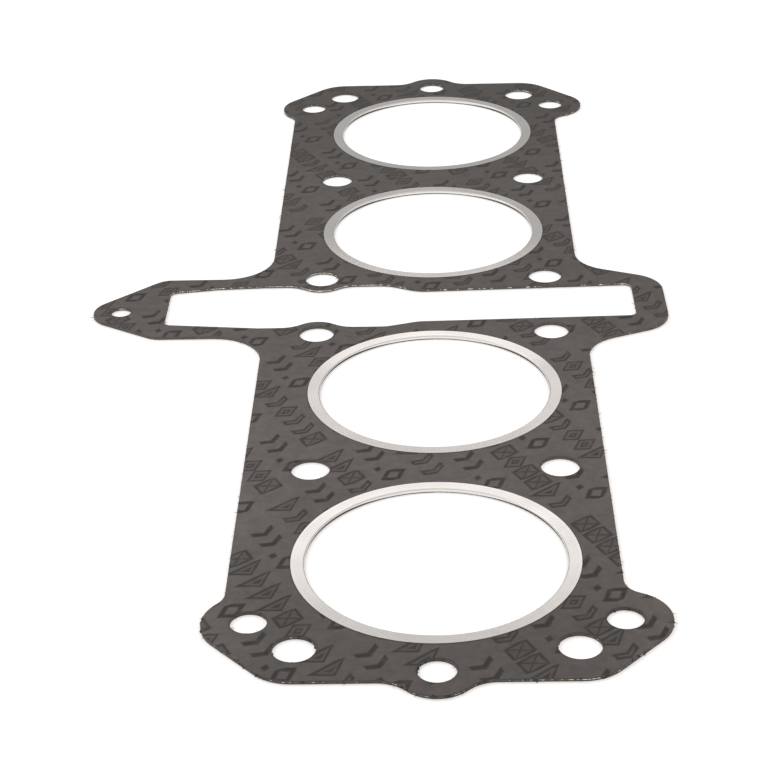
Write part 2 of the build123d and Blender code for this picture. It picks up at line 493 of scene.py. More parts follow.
@dataclass(frozen=True)
class PrintedRepeat:
    """Diagonal rows of plain geometric marks, bold and outlined by turns, in millimetres."""

    angle: float = -62.0
    row_pitch: float = 22.0
    lean: float = 0.24
    softness: float = 0.8
    bold_row: float = 5.5
    bold_period: float = 31.0
    bold_cell: float = 5.4
    bold_half_height: float = 3.4
    bold_stroke: float = 1.9
    bold_shift: float = 13.0
    bold_chevron_slope: float = 0.55
    bold_chevron_nose: float = 0.8
    bold_lozenge_slope: float = 1.3
    bold_lozenge_stroke: float = 1.2
    open_row: float = 16.5
    open_period: float = 49.6
    open_cell: float = 6.2
    open_gap_cells: float = 1.5
    open_half_width: float = 2.9
    open_half_height: float = 3.7
    open_stroke: float = 0.95
    open_fill: float = 0.30
    open_ink: float = 0.95
    open_shift: float = 17.3
    inner_line: float = 4.5
    cross_slope: float = 0.6
    cross_stroke: float = 0.7
    arrow_slope: float = 0.8
    arrow_ends: Span = (0.9, -0.8)
    chevron_slope: float = 0.5
    chevron_nose: float = 0.9
    chevron_half: float = 1.3
    lozenge_slopes: Span = (1.15, 0.8)
    lozenge_size: float = 0.85
    wear: NoiseLayer = NoiseLayer(0.35, 3.0, 0.6, 0.3)
    wear_span: Span = (0.25, 0.6)

    def inside(self, distance: Wire) -> Wire:
        """1 where a distance to an edge is below 0, with a soft edge."""
        return distance.ramp(self.softness / 2, -self.softness / 2)

    def bold(self, along: Wire, across: Wire) -> Wire:
        """The bold row: two chevrons, a dot and an open lozenge, then a gap.

        Args:
            along: The place along the row.
            across: The place across the row, from its middle.

        Returns:
            The row's ink, from 0 to 1.
        """
        along = along.wrap(self.bold_period)
        cell = (along / self.bold_cell).floor()
        u = along - (cell + 0.5) * self.bold_cell + across * self.lean
        height = abs(across) - self.bold_half_height
        half = self.bold_stroke / 2
        bend = abs(u + abs(across) * self.bold_chevron_slope - self.bold_chevron_nose)
        chevron = (bend - half).high(height)
        lozenge = abs(abs(u) * self.bold_lozenge_slope + abs(across) - self.bold_half_height)
        shapes = {
            BoldMark.FIRST_CHEVRON: chevron,
            BoldMark.SECOND_CHEVRON: chevron,
            BoldMark.DOT: (abs(u) - half).high(abs(across + self.bold_half_height - half) - half),
            BoldMark.LOZENGE: lozenge - half * self.bold_lozenge_stroke,
        }
        ink: Number = 0.0
        for shape, distance in shapes.items():
            here = abs(cell - float(shape.value)) < 0.5
            ink = self.inside(distance) * here + ink
        return ink

    def open_shapes(self, u: Wire, across: Wire) -> dict[OpenMark, tuple[Wire, Wire]]:
        """The outlined shapes of one cell.

        Args:
            u: The place along the row, from the middle of the cell.
            across: The place across the row, from its middle.

        Returns:
            For each shape, how far a point is outside its body and outside its lines.
        """
        half = self.open_stroke / 2
        wide, tall = self.open_half_width, self.open_half_height
        tip, tail = self.arrow_ends
        box = (abs(u) - wide).high(abs(across) - tall)
        diagonals = abs(abs(u) * tall / wide - abs(across)) * self.cross_slope
        crossed = (diagonals - half * self.cross_stroke).high(box)
        arrow = (abs(across) * self.arrow_slope + u - wide * tip).high(wide * tail - u)
        bend = abs(u + abs(across) * self.chevron_slope - self.chevron_nose)
        chevron = (bend - self.chevron_half).high(abs(across) - tall)
        slope_along, slope_across = self.lozenge_slopes
        lozenge = abs(u) * slope_along + abs(across) * slope_across - tall * self.lozenge_size
        inner = half * self.inner_line
        return {
            OpenMark.CROSSED_BOX: (box, (abs(box + half) - half).low(crossed)),
            OpenMark.ARROWHEAD: (arrow, (abs(arrow + half) - half).low(abs(arrow + inner) - half)),
            OpenMark.WIDE_CHEVRON: (chevron, abs(chevron + half) - half),
            OpenMark.DOUBLE_LOZENGE: (lozenge, (abs(lozenge) - half).low(abs(lozenge + inner) - half)),
        }

    def opened(self, paint: Paint, along: Wire, across: Wire, row: Wire) -> Wire:
        """The outlined row: leaning open shapes, picked at random cell by cell.

        Args:
            paint: The facing's material.
            along: The place along the row.
            across: The place across the row, from its middle.
            row: The row's number.

        Returns:
            The row's ink, from 0 to 1.
        """
        turn = (along / self.open_period).floor()
        along = along.wrap(self.open_period)
        cell = (along / self.open_cell).floor()
        u = along - (cell + 0.5) * self.open_cell + across * self.lean
        pick = paint.node("ShaderNodeTexWhiteNoise", {"noise_dimensions": "3D"},
                          {"Vector": paint.joined(cell, row, turn)})
        ink: Number = 0.0
        start = 0.0
        for shape, (body, lines) in self.open_shapes(u, across).items():
            here = (pick > start) * (pick < shape.value)
            ink = self.inside(lines).high(self.inside(body) * self.open_fill) * here + ink
            start = shape.value
        filled_cells = self.open_period / self.open_cell - self.open_gap_cells
        return ink * (cell < filled_cells)

    def ink(self, paint: Paint) -> Wire:
        """How much ink lies on each point of the sheet.

        Args:
            paint: The facing's material.

        Returns:
            The ink of both kinds of row, from 0 to 1, thinner where the print is worn.
        """
        turn = math.radians(self.angle)
        along = paint.x * math.cos(turn) + paint.y * math.sin(turn)
        across = paint.y * math.cos(turn) - paint.x * math.sin(turn)
        row = (across / self.row_pitch).floor()
        in_row = across.wrap(self.row_pitch)
        bold = self.bold(along + row * self.bold_shift, in_row - self.bold_row)
        opened = self.opened(paint, along + row * self.open_shift, in_row - self.open_row, row)
        coverage = self.wear.over(paint).ramp(*self.wear_span) * self.wear.weight + (1.0 - self.wear.weight)
        return bold.high(opened * self.open_ink) * coverage


@dataclass(frozen=True)
class FibreFacing:
    """Graphite-grey pressed fibre sheet with a printed repeat and die-cut walls."""

    name: str
    sheet: Colour = tone(0.136, 0.1265, 0.122)
    warm: Colour = tone(0.137, 0.124, 0.117)
    ink: Colour = tone(0.025, 0.0225, 0.0215)
    wall: Colour = tone(0.125, 0.115, 0.107)
    wall_tint: Colour = tone(0.150, 0.113, 0.092)
    index: float = 1.33
    clouds: NoiseLayer = NoiseLayer(0.035, 4.0, 0.55, 0.20)
    blotch: NoiseLayer = NoiseLayer(0.13, 3.0, 0.6, 0.38)
    mottle: NoiseLayer = NoiseLayer(0.38, 3.0, 0.6, 0.62)
    grain: NoiseLayer = NoiseLayer(2.6, 3.0, 0.7, 0.46)
    least_shade: float = 0.175
    fibre_shade: float = 0.14
    warm_span: Span = (0.4, 0.6)
    ink_strength: float = 0.80
    ink_grain: float = 0.25
    rim_shade: float = 0.4
    hole_rim: float = 0.7
    ring_seat_press_and_shadow: float = 0.6
    face_slope: Span = (0.35, 0.75)
    roughness: float = 0.52
    mottle_roughness: float = 0.10
    grain_roughness: float = 0.06
    ink_gloss: float = 0.07
    bump: float = 0.8
    mottle_height: float = 0.05
    grain_height: float = 0.035
    fibre_height: float = 0.015
    ink_height: float = 0.006
    rim_depth: float = 0.02
    fibres: StretchedNoise = StretchedNoise((0.5, 3.6, 1.0), 2.0, 0.6)
    fibre_span: Span = (0.58, 0.7)
    cross_fibres: StretchedNoise = StretchedNoise((3.4, 0.6, 1.0), 2.0, 0.6)
    cross_fibre_span: Span = (0.6, 0.72)
    layers: StretchedNoise = StretchedNoise((0.8, 0.8, 9.0), 3.0, 0.6)
    tint_span: Span = (0.50, 0.62)
    layer_span: Span = (0.4, 0.6)
    wall_fade: float = 0.45
    wall_fade_span: Span = (-60.0, -150.0)
    # painted shade and sheen: slow tone changes across the sheet that stand in for light
    painted_side_light: float = 0.0005
    painted_far_shade: float = 0.19
    painted_far_shade_span: Span = (-130.0, 50.0)
    painted_end_shade: float = 0.22
    painted_end_shade_span: Span = (70.0, 190.0)
    painted_corner_sheen: float = 0.44
    corner_from_x: Span = (32.0, 84.0)
    corner_from_y: Span = (-50.0, -140.0)
    marks: PrintedRepeat = PrintedRepeat()

    def dress(self, plan: SheetPlan) -> bpy.types.Material:
        """Makes the facing's material.

        Args:
            plan: The bores and holes, whose rims are pressed and darker; round each ring's seat the darker band is
                also a painted shadow of the flange.

        Returns:
            The material for a facing's faces and cut walls.
        """
        paint = Paint(self.name, {"IOR": self.index})
        clouds, blotch, mottle, grain = (
            layer.over(paint) for layer in (self.clouds, self.blotch, self.mottle, self.grain))
        fibres = self.pressed_fibres(paint)
        shade = (clouds * self.clouds.weight + self.least_shade + blotch * self.blotch.weight
                 + mottle * self.mottle.weight + grain * self.grain.weight - fibres * self.fibre_shade)
        # The sheet's tone times the painted shade and sheen of fade.
        shade = shade * self.fade(paint)
        fibre = paint.blend(blotch.ramp(*self.warm_span), self.sheet, self.warm)
        base = paint.blend(1.0, fibre, paint.joined(shade, shade, shade), "MULTIPLY")
        ink = self.marks.ink(paint)
        printed = paint.blend(ink * (grain * self.ink_grain + self.ink_strength), base, self.ink)
        # Darker rims: pressed fibre round the holes, and round each ring's seat pressed fibre with a painted
        # shadow of the flange.
        rim = plan.rim_distance(paint).ramp(self.hole_rim, 0.0).high(
            (plan.bore_distance(paint) - plan.ring_radius).ramp(self.ring_seat_press_and_shadow, 0.0))
        rimmed = paint.blend(rim * self.rim_shade, printed, self.ink)
        colour = paint.blend(paint.facing_up.ramp(*self.face_slope), self.cut_wall(paint), rimmed)
        roughness = (mottle * self.mottle_roughness + self.roughness + grain * self.grain_roughness
                     - ink * self.ink_gloss).low(1.0)
        relief = (grain * self.grain_height + mottle * self.mottle_height - fibres * self.fibre_height
                  + ink * self.ink_height - rim * self.rim_depth + paint.wave)
        return paint.finish(colour, roughness, relief, self.bump)

    def fade(self, paint: Paint) -> Wire:
        """Painted shade and sheen over the sheet: painted shade at both ends and far away, and a painted sheen
        towards the left and in the near corners.

        Args:
            paint: The facing's material.

        Returns:
            What the sheet's tone is multiplied by.
        """
        fade = (1.0 - abs(paint.y).ramp(*self.painted_end_shade_span) * self.painted_end_shade) * (1.0 - paint.x * self.painted_side_light)
        fade = fade * (1.0 - paint.y.ramp(*self.painted_far_shade_span) * self.painted_far_shade)
        corners = abs(paint.x).ramp(*self.corner_from_x) * paint.y.ramp(*self.corner_from_y)
        return fade * (corners * self.painted_corner_sheen + 1.0)

    def cut_wall(self, paint: Paint) -> Wire:
        """The colour of the cut walls: layered fibre, brown in patches and darker at the near end.

        Args:
            paint: The facing's material.

        Returns:
            The walls' colour.
        """
        tinted = PATCHES.over(paint).ramp(*self.tint_span) * self.layers.over(paint).ramp(*self.layer_span)
        cut = paint.blend(tinted, self.wall, self.wall_tint)
        return paint.blend(paint.y.ramp(*self.wall_fade_span) * self.wall_fade, cut, self.ink)

    def pressed_fibres(self, paint: Paint) -> Wire:
        """Short fibres pressed into the sheet, in two crossing directions.

        Args:
            paint: The facing's material.

        Returns:
            1 on a fibre and 0 between them.
        """
        first = self.fibres.over(paint).ramp(*self.fibre_span)
        return first.high(self.cross_fibres.over(paint).ramp(*self.cross_fibre_span))


@dataclass(frozen=True)
class CoreSteel:
    """Thin steel sheet seen in the cut edges: dull, with bright sheared spots."""

    name: str = "core_steel"
    dull: Colour = tone(0.135, 0.125, 0.115)
    bright: Colour = tone(0.86, 0.85, 0.82)
    stain: Colour = tone(0.10, 0.080, 0.064)
    shear: NoiseLayer = NoiseLayer(0.9, 3.0, 0.65)
    shear_span: Span = (1.06, 1.15)
    patch_share: float = 0.9
    slot_share: float = 0.10
    slot_span: Span = (-4.0, 4.0)
    side_share: float = 0.12
    side_span: Span = (-168.0, -145.0)
    stains: NoiseLayer = NoiseLayer(0.25, 2.0, 0.5)
    stain_span: Span = (0.45, 0.65)
    scores: StretchedNoise = StretchedNoise((6.0, 6.0, 0.5), 2.0, 0.5)
    score_height: float = 0.03
    dull_roughness: float = 0.50
    bright_gloss: float = 0.20
    dull_metal: float = 0.15
    bump: float = 0.6

    def dress(self) -> bpy.types.Material:
        """Makes the core's material.

        Returns:
            The material, with the most bright spots on the slot's far wall and at the near end.
        """
        paint = Paint(self.name, {})
        worked = paint.y.ramp(*self.slot_span) * (self.slot_share + self.side_share)
        worked = worked - paint.y.ramp(*self.side_span) * self.side_share
        patches = PATCHES.over(paint) * self.patch_share
        sheared = (self.shear.over(paint) + patches + worked).ramp(*self.shear_span)
        stained = paint.blend(self.stains.over(paint).ramp(*self.stain_span), self.dull, self.stain)
        colour = paint.blend(sheared, stained, self.bright)
        roughness = self.dull_roughness - sheared * self.bright_gloss
        relief = self.scores.over(paint) * self.score_height
        metallic = sheared * (1.0 - self.dull_metal) + self.dull_metal
        return paint.finish(colour, roughness, relief, self.bump, metallic)


@dataclass(frozen=True)
class RingSteel:
    """Satin strip steel of the folded rings, with a fine grain round the bore."""

    name: str = "ring_steel"
    steel: Colour = tone(0.93, 0.925, 0.915)
    shade: Colour = tone(0.80, 0.80, 0.795)
    # painted shade: the wall and folds inside the bore are the same steel, painted darker than the flanges
    wall: Colour = tone(0.76, 0.75, 0.74)
    speckle: Colour = tone(0.45, 0.43, 0.41)
    # painted shade: a dark line along the lower fold of each bore wall, where the ring meets the floor
    painted_fold_shade: Colour = tone(0.07, 0.067, 0.064)
    lines: TurnedLines = TurnedLines(5.0, 5.0, 3.0, 0.65)
    fine_lines: TurnedLines = TurnedLines(16.0, 9.0, 2.0, 0.6)
    smudges: NoiseLayer = NoiseLayer(0.06, 3.0, 0.55, 0.5)
    specks: NoiseLayer = NoiseLayer(2.2, 3.0, 0.7, 0.25)
    shade_span: Span = (0.35, 0.65)
    speck_span: Span = (0.66, 0.74)
    wall_span: Span = (0.45, 0.25)
    painted_fold_shade_span: Span = (-0.28, -0.45)
    painted_fold_shade_sides: Span = (0.30, 0.80)
    painted_fold_shade_rise: float = 0.65
    lift: float = 1.4
    roughness: float = 0.12
    smudge_roughness: float = 0.05
    line_roughness: float = 0.03
    line_height: float = 0.012
    fine_height: float = 0.006
    speck_height: float = 0.004

    def dress(self, plan: SheetPlan) -> bpy.types.Material:
        """Makes the rings' material.

        Args:
            plan: The bores, whose axes the grain goes round.

        Returns:
            The material, whose flanges lift by a few degrees towards their free edge.
        """
        paint = Paint(self.name, {"Metallic": 1.0})
        radius = plan.bore_distance(paint)
        lines = self.lines.over(paint, radius)
        fine = self.fine_lines.over(paint, radius)
        smudges = self.smudges.over(paint)
        specks = self.specks.over(paint)
        cloudy = lines * (1.0 - self.smudges.weight) + smudges * self.smudges.weight
        colour = paint.blend(cloudy.ramp(*self.shade_span), self.steel, self.shade)
        speckled_and_shaded = paint.blend(specks.ramp(*self.speck_span) * self.specks.weight, colour, self.speckle)
        # Painted shade: the wall and folds inside the bore take the darker wall colour; the specks above are real
        # wear.
        shaded_bore_wall = (radius - plan.bore_radius).ramp(*self.wall_span)
        speckled_and_shaded = paint.blend(shaded_bore_wall, speckled_and_shaded, self.wall)
        # Painted shade along the lower fold of the bore wall, reaching higher up the wall at the sides of each
        # bore.
        risen = (abs(paint.x) / radius).ramp(*self.painted_fold_shade_sides) * self.painted_fold_shade_rise
        painted_fold_shade_mask = (paint.z / plan.ring_half - risen).ramp(*self.painted_fold_shade_span)
        speckled_and_shaded = paint.blend(painted_fold_shade_mask * shaded_bore_wall, speckled_and_shaded, self.painted_fold_shade)
        slope = math.tan(math.radians(self.lift))
        relief = (lines * self.line_height + fine * self.fine_height + specks * self.speck_height
                  + radius * slope + paint.wave)
        roughness = smudges * self.smudge_roughness + self.roughness + lines * self.line_roughness
        return paint.finish(speckled_and_shaded, roughness, relief, 1.0, 1.0, plan.fold_direction(paint, radius))


@dataclass(frozen=True)
class TornFibre:
    """Loose fibre and crumbs that the die leaves on the cut edges."""

    name: str = "torn_fibre"
    dark: Colour = tone(0.045, 0.038, 0.033)
    light: Colour = tone(0.18, 0.15, 0.13)
    lumps: NoiseLayer = NoiseLayer(0.9, 2.0, 0.6)
    fuzz: NoiseLayer = NoiseLayer(9.0, 2.0, 0.6, 0.2)
    light_span: Span = (0.6, 0.8)
    roughness: float = 0.75
    fuzz_height: float = 0.03
    bump: float = 0.5

    def dress(self) -> bpy.types.Material:
        """Makes the torn fibre's material.

        Returns:
            The material of the crumbs and fibres.
        """
        paint = Paint(self.name, {})
        lumps = self.lumps.over(paint)
        fuzz = self.fuzz.over(paint)
        colour = paint.blend((lumps + fuzz * self.fuzz.weight).ramp(*self.light_span), self.dark, self.light)
        return paint.finish(colour, fuzz * self.fuzz.weight + self.roughness, fuzz * self.fuzz_height, self.bump)


@dataclass(frozen=True)
class ShearedSteel:
    """Bright slivers of core steel that stand out of the cut edges."""

    name: str = "sheared_steel"
    steel: Colour = tone(0.92, 0.90, 0.86)
    tarnish: Colour = tone(0.45, 0.33, 0.24)
    patches: NoiseLayer = NoiseLayer(0.5, 2.0, 0.6)
    grain: NoiseLayer = NoiseLayer(7.0, 2.0, 0.6, 0.2)
    tarnish_span: Span = (0.5, 0.7)
    roughness: float = 0.25
    grain_height: float = 0.02
    bump: float = 0.5

    def dress(self) -> bpy.types.Material:
        """Makes the slivers' material.

        Returns:
            The material of the slivers.
        """
        paint = Paint(self.name, {})
        grain = self.grain.over(paint)
        colour = paint.blend(self.patches.over(paint).ramp(*self.tarnish_span), self.steel, self.tarnish)
        roughness = grain * self.grain.weight + self.roughness
        return paint.finish(colour, roughness, grain * self.grain_height, self.bump, 1.0)


class Draw(Enum):
    """The streams of random numbers that the loose pieces draw from."""

    CRUMB_SINK = 1
    CRUMB_DROP = 2
    CRUMB_CHOICE = 3
    CRUMB_TURN = 4
    CRUMB_STRETCH = 5
    HAIR_AIM = 6
    HAIR_DROP = 7
    HAIR_CHOICE = 8
    HAIR_SIZE = 9
    SLIVER_WANDER = 10
    SLIVER_LENGTH = 11
    SLIVER_HEIGHT = 12
    SLIVER_CHOICE = 13
    CRUMB_GROWTH = 14


# How sharply the loose pieces gather in clumps, and how many more there are in the middle of one.
CLUMP_SPAN = (0.35, 0.65)
CLUMP_GAIN = 2.0


class Recipe(Tree):
    """A Geometry Nodes tree with named inputs, which turns a path into a plain mesh."""

    def __init__(self, name: str, inputs: dict[str, object]) -> None:
        """Makes the tree and its inputs.

        Args:
            name: The tree's name.
            inputs: Each input's name and default, a number, a whole number or a material.
        """
        super().__init__(bpy.data.node_groups.new(name, "GeometryNodeTree"))
        kinds = {float: "NodeSocketFloat", int: "NodeSocketInt", bpy.types.Material: "NodeSocketMaterial"}
        self.tree.interface.new_socket("Path", in_out="INPUT", socket_type="NodeSocketGeometry")
        self.tree.interface.new_socket("Pieces", in_out="OUTPUT", socket_type="NodeSocketGeometry")
        self.defaults = inputs
        self.identifiers: dict[str, str] = {}
        for label, value in inputs.items():
            socket = self.tree.interface.new_socket(label, in_out="INPUT", socket_type=kinds[type(value)])
            self.identifiers[label] = socket.identifier
        self.entry = self.tree.nodes.new("NodeGroupInput")
        self.exit = self.tree.nodes.new("NodeGroupOutput")

    def given(self, label: str) -> Wire:
        """One of the tree's named inputs."""
        return Wire(self, self.entry.outputs[label])

    def random(self, low: object, high: object, draw: Draw, kind: str = "FLOAT") -> Wire:
        """A random number or vector for each point, from the tree's own seed.

        Args:
            low: The least value.
            high: The greatest value.
            draw: The stream that it comes from.
            kind: The kind of value, a number or a vector.

        Returns:
            The random value.
        """
        numbers = {"FLOAT": (2, 3, 1), "FLOAT_VECTOR": (0, 1, 0)}
        first, second, output = numbers[kind]
        seed = self.given("Seed") + float(draw.value)
        return self.node("FunctionNodeRandomValue", {"data_type": kind},
                         {first: low, second: high, "Seed": seed}, output)

    def points_along(self) -> Wire:
        """Points at the named spacing along the path.

        Returns:
            The points.
        """
        curve = self.node("GeometryNodeMeshToCurve", {}, {"Mesh": self.given("Path")})
        return self.node("GeometryNodeCurveToPoints", {"mode": "LENGTH"},
                         {"Curve": curve, "Length": self.given("Spacing")})

    def place(self) -> tuple[Wire, Wire, Wire]:
        """Where each point is, in metres."""
        return self.split(self.node("GeometryNodeInputPosition"))

    def outward(self) -> Wire:
        """The direction out of the sheet at each point of the path."""
        return self.node("GeometryNodeInputNamedAttribute", {"data_type": "FLOAT_VECTOR"}, {"Name": "outward"})

    def chosen(self, draw: Draw, clump: float, weight: Number = 1.0) -> Wire:
        """A share of the points, weighted and gathered in clumps that are so many metres apart."""
        clumps = self.noise(self.node("GeometryNodeInputPosition"), 1 / clump, 2.0).ramp(*CLUMP_SPAN)
        return self.random(0.0, 1.0, draw) < self.given("Share") * clumps * CLUMP_GAIN * weight

    def close(self, instances: Wire, limit: Wire) -> None:
        """Ends the tree: real mesh that stays within the thickness of the sheet, with its material.

        Args:
            instances: The pieces at their places.
            limit: Half the thickness of the sheet, in metres.
        """
        real = self.node("GeometryNodeRealizeInstances", {}, {"Geometry": instances})
        x, y, z = self.place()
        kept = self.node("GeometryNodeSetPosition", {}, {
            "Geometry": real, "Position": self.joined(x, y, z.low(limit).high(limit * -1.0))})
        dressed = self.node("GeometryNodeSetMaterial", {}, {"Geometry": kept, "Material": self.given("Finish")})
        self.tree.links.new(dressed.socket, self.exit.inputs["Pieces"])

    def run(self, path: bpy.types.Object, name: str) -> bpy.types.Object:
        """Runs the tree on a path.

        Args:
            path: The object whose mesh is the path.
            name: The new piece's name.

        Returns:
            A plain mesh object at the origin.
        """
        modifier = path.modifiers.new(name, "NODES")
        modifier.node_group = self.tree
        for label, value in self.defaults.items():
            modifier[self.identifiers[label]] = value
        evaluated = path.evaluated_get(bpy.context.evaluated_depsgraph_get())
        piece = bpy.data.objects.new(name, bpy.data.meshes.new_from_object(evaluated))
        path.modifiers.remove(modifier)
        bpy.context.scene.collection.objects.link(piece)
        return piece


@dataclass
class Laminate:
    """The sheet: two fibre facings on a steel core."""

    plan: SheetPlan
    facing: FibreFacing = FibreFacing("fibre_facing")
    core: CoreSteel = CoreSteel()

    def build(self) -> None:
        """Dresses the three layers, whose shapes are the frame's own."""
        fibre = self.facing.dress(self.plan)
        steel = self.core.dress()
        for node, material, slot in (("upper_facing", fibre, "facing"), ("lower_facing", fibre, "facing"),
                                     ("steel_core", steel, "core")):
            dress_node(node, material)


@dataclass
class BoreRings:
    """The four folded steel rings."""

    plan: SheetPlan
    steel: RingSteel = RingSteel()

    def build(self) -> None:
        """Dresses the rings, whose shapes are the frame's own."""
        material = self.steel.dress(self.plan)
        for node in sorted(name for name in frame["nodes"] if name.startswith("bore_ring_")):
            dress_node(node, material)


@dataclass
class CutEdges:
    """What the die leaves along the cut edges of the sheet: crumbs, torn fibres and steel slivers."""

    plan: SheetPlan
    crumb_spacing: float = 0.55
    crumb_size: float = 0.17
    crumb_share: float = 0.9
    crumb_clump: float = 0.012
    crumb_sink: Span = (-0.6, 0.5)
    crumb_depth: Span = (-0.92, -0.08)
    crumb_sides: tuple[Vector3, Vector3] = ((0.4, 0.4, 0.3), (1.2, 1.2, 0.8))
    crumb_least: float = 0.8
    crumb_growth: float = 0.8
    crumb_end_growth: float = 2.2
    rough_end: Span = (-0.150, -0.180)
    hair_spacing: float = 1.6
    hair_length: float = 0.9
    hair_radius: float = 0.10
    hair_tip: float = 0.2
    hair_share: float = 0.2
    hair_clump: float = 0.03
    hair_depth: Span = (-0.85, -0.15)
    hair_corners: int = 5
    hair_spread: Vector3 = (0.8, 0.8, 0.25)
    hair_sides: tuple[Vector3, Vector3] = ((0.6, 0.6, 0.3), (1.2, 1.2, 1.6))
    sliver_spacing: float = 0.8
    sliver_length: float = 0.55
    sliver_share: float = 0.10
    sliver_clump: float = 0.02
    sliver_wander: Span = (-0.3, 0.5)
    sliver_lengths: Span = (0.2, 1.0)
    sliver_heights: Span = (0.5, 1.2)
    sliver_flatness: float = 0.7
    sliver_least: float = 0.4
    sliver_end_gain: float = 0.6
    slot_start: Span = (-0.004, 0.004)
    slot_end: Span = (0.035, 0.028)
    slot_gain: float = 2.2
    slot_stretch: float = 0.6
    slot_height: float = 1.3
    rim_reach: float = 0.3
    seed: int = 7

    def build(self) -> None:
        """Makes the three kinds of pieces: fibre round all the cut edges, steel round the outline and the slot."""
        every_edge = self.edge_path(True)
        long_edges = self.edge_path(False)
        torn = TornFibre().dress()
        steel = ShearedSteel().dress()
        makers = ((self.crumbs, torn, every_edge, "edge_crumbs", "facing"),
                  (self.hairs, torn, every_edge, "edge_fibres", "facing"),
                  (self.slivers, steel, long_edges, "edge_slivers", "core"))
        for make, material, path, name, slot in makers:
            piece = make(material).run(path, name)
            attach(piece, "root")
            report(piece)
        for path in (every_edge, long_edges):
            bpy.data.objects.remove(path)

    def edge_path(self, with_holes: bool) -> bpy.types.Object:
        """The upper edges of the cuts that no ring covers.

        Args:
            with_holes: Whether the round holes' edges are among them.

        Returns:
            An object whose mesh is the edges, with the direction out of the sheet at each point.
        """
        shell = bmesh.new()
        shell.from_mesh(frame["nodes"]["upper_facing"].data)
        bmesh.ops.remove_doubles(shell, verts=shell.verts, dist=MERGE_DISTANCE)
        top = max(vertex.co.z for vertex in shell.verts) - MERGE_DISTANCE
        shell.normal_update()
        numbers: dict[int, int] = {}
        places: list[Vector] = []
        directions: list[Vector] = []
        edges: list[tuple[int, int]] = []
        for edge in shell.edges:
            walls = [face.normal for face in edge.link_faces if abs(face.normal.z) < WALL_LEAN]
            if min(vertex.co.z for vertex in edge.verts) < top or len(walls) != 1:
                continue
            if self.under_ring(edge) or not (with_holes or self.outside_holes(edge)):
                continue
            for vertex in edge.verts:
                if vertex.index not in numbers:
                    numbers[vertex.index] = len(places)
                    places.append(vertex.co.copy())
                    directions.append(Vector())
                directions[numbers[vertex.index]] += walls[0]
            edges.append(tuple(numbers[vertex.index] for vertex in edge.verts))
        shell.free()
        mesh = bpy.data.meshes.new("cut_edge_path")
        mesh.from_pydata(places, edges, [])
        outward = mesh.attributes.new("outward", "FLOAT_VECTOR", "POINT")
        for number, direction in enumerate(directions):
            outward.data[number].vector = direction.normalized()
        path = bpy.data.objects.new("cut_edge_path", mesh)
        bpy.context.scene.collection.objects.link(path)
        return path

    def under_ring(self, edge: bmesh.types.BMEdge) -> bool:
        """Tells whether a ring's flange covers an edge.

        Args:
            edge: An edge of the upper facing.

        Returns:
            True for a covered edge.
        """
        place = edge.verts[0].co
        along = abs(abs(place.y / MM) - self.plan.bore_middle) - self.plan.bore_half_pitch
        return math.hypot(place.x / MM, along) < self.plan.ring_radius

    def outside_holes(self, edge: bmesh.types.BMEdge) -> bool:
        """Tells whether an edge isn't a round hole's rim.

        Args:
            edge: An edge of the upper facing.

        Returns:
            True for an edge of the outline or the slot.
        """
        x, y = edge.verts[0].co.x / MM, edge.verts[0].co.y / MM
        gaps = [math.hypot(abs(x) - row.x, abs(y) - row.y) - row.radius for row in self.plan.rows]
        gaps.append(math.hypot(x - self.plan.ear.x, y - self.plan.ear.y) - self.plan.ear.radius)
        return min(gaps) > self.rim_reach

    def crumbs(self, material: bpy.types.Material) -> Recipe:
        """Crumbs of fibre, which make the cut edges slightly uneven.

        Args:
            material: The torn fibre's material.

        Returns:
            The recipe, ready to run on a path.
        """
        recipe = Recipe("edge crumbs", {"Spacing": self.crumb_spacing * MM, "Size": self.crumb_size * MM,
                                        "Depth": 2 * self.plan.sheet_half * MM, "Share": self.crumb_share,
                                        "Seed": self.seed, "Finish": material})
        size = recipe.given("Size")
        crumb = recipe.node("GeometryNodeMeshIcoSphere", {}, {"Radius": size, "Subdivisions": 1})
        sunk = recipe.scaled(recipe.outward(), recipe.random(*self.crumb_sink, Draw.CRUMB_SINK) * size)
        drop = recipe.joined(0.0, 0.0, recipe.random(*self.crumb_depth, Draw.CRUMB_DROP) * recipe.given("Depth"))
        points = recipe.node("GeometryNodeSetPosition", {},
                             {"Geometry": recipe.points_along(), "Offset": recipe.vector("ADD", sunk, drop)})
        chance = recipe.random(0.0, 1.0, Draw.CRUMB_GROWTH)
        _, y, _ = recipe.place()
        growth = y.ramp(*self.rough_end) * self.crumb_end_growth + self.crumb_growth
        rare = chance * chance * chance * chance * growth
        stretch = recipe.random(*self.crumb_sides, Draw.CRUMB_STRETCH, "FLOAT_VECTOR")
        instances = recipe.node("GeometryNodeInstanceOnPoints", {}, {
            "Points": points, "Selection": recipe.chosen(Draw.CRUMB_CHOICE, self.crumb_clump), "Instance": crumb,
            "Rotation": recipe.random((0, 0, 0), (FULL_TURN,) * 3, Draw.CRUMB_TURN, "FLOAT_VECTOR"),
            "Scale": recipe.scaled(stretch, rare + self.crumb_least)})
        recipe.close(instances, recipe.given("Depth") * 0.5)
        return recipe

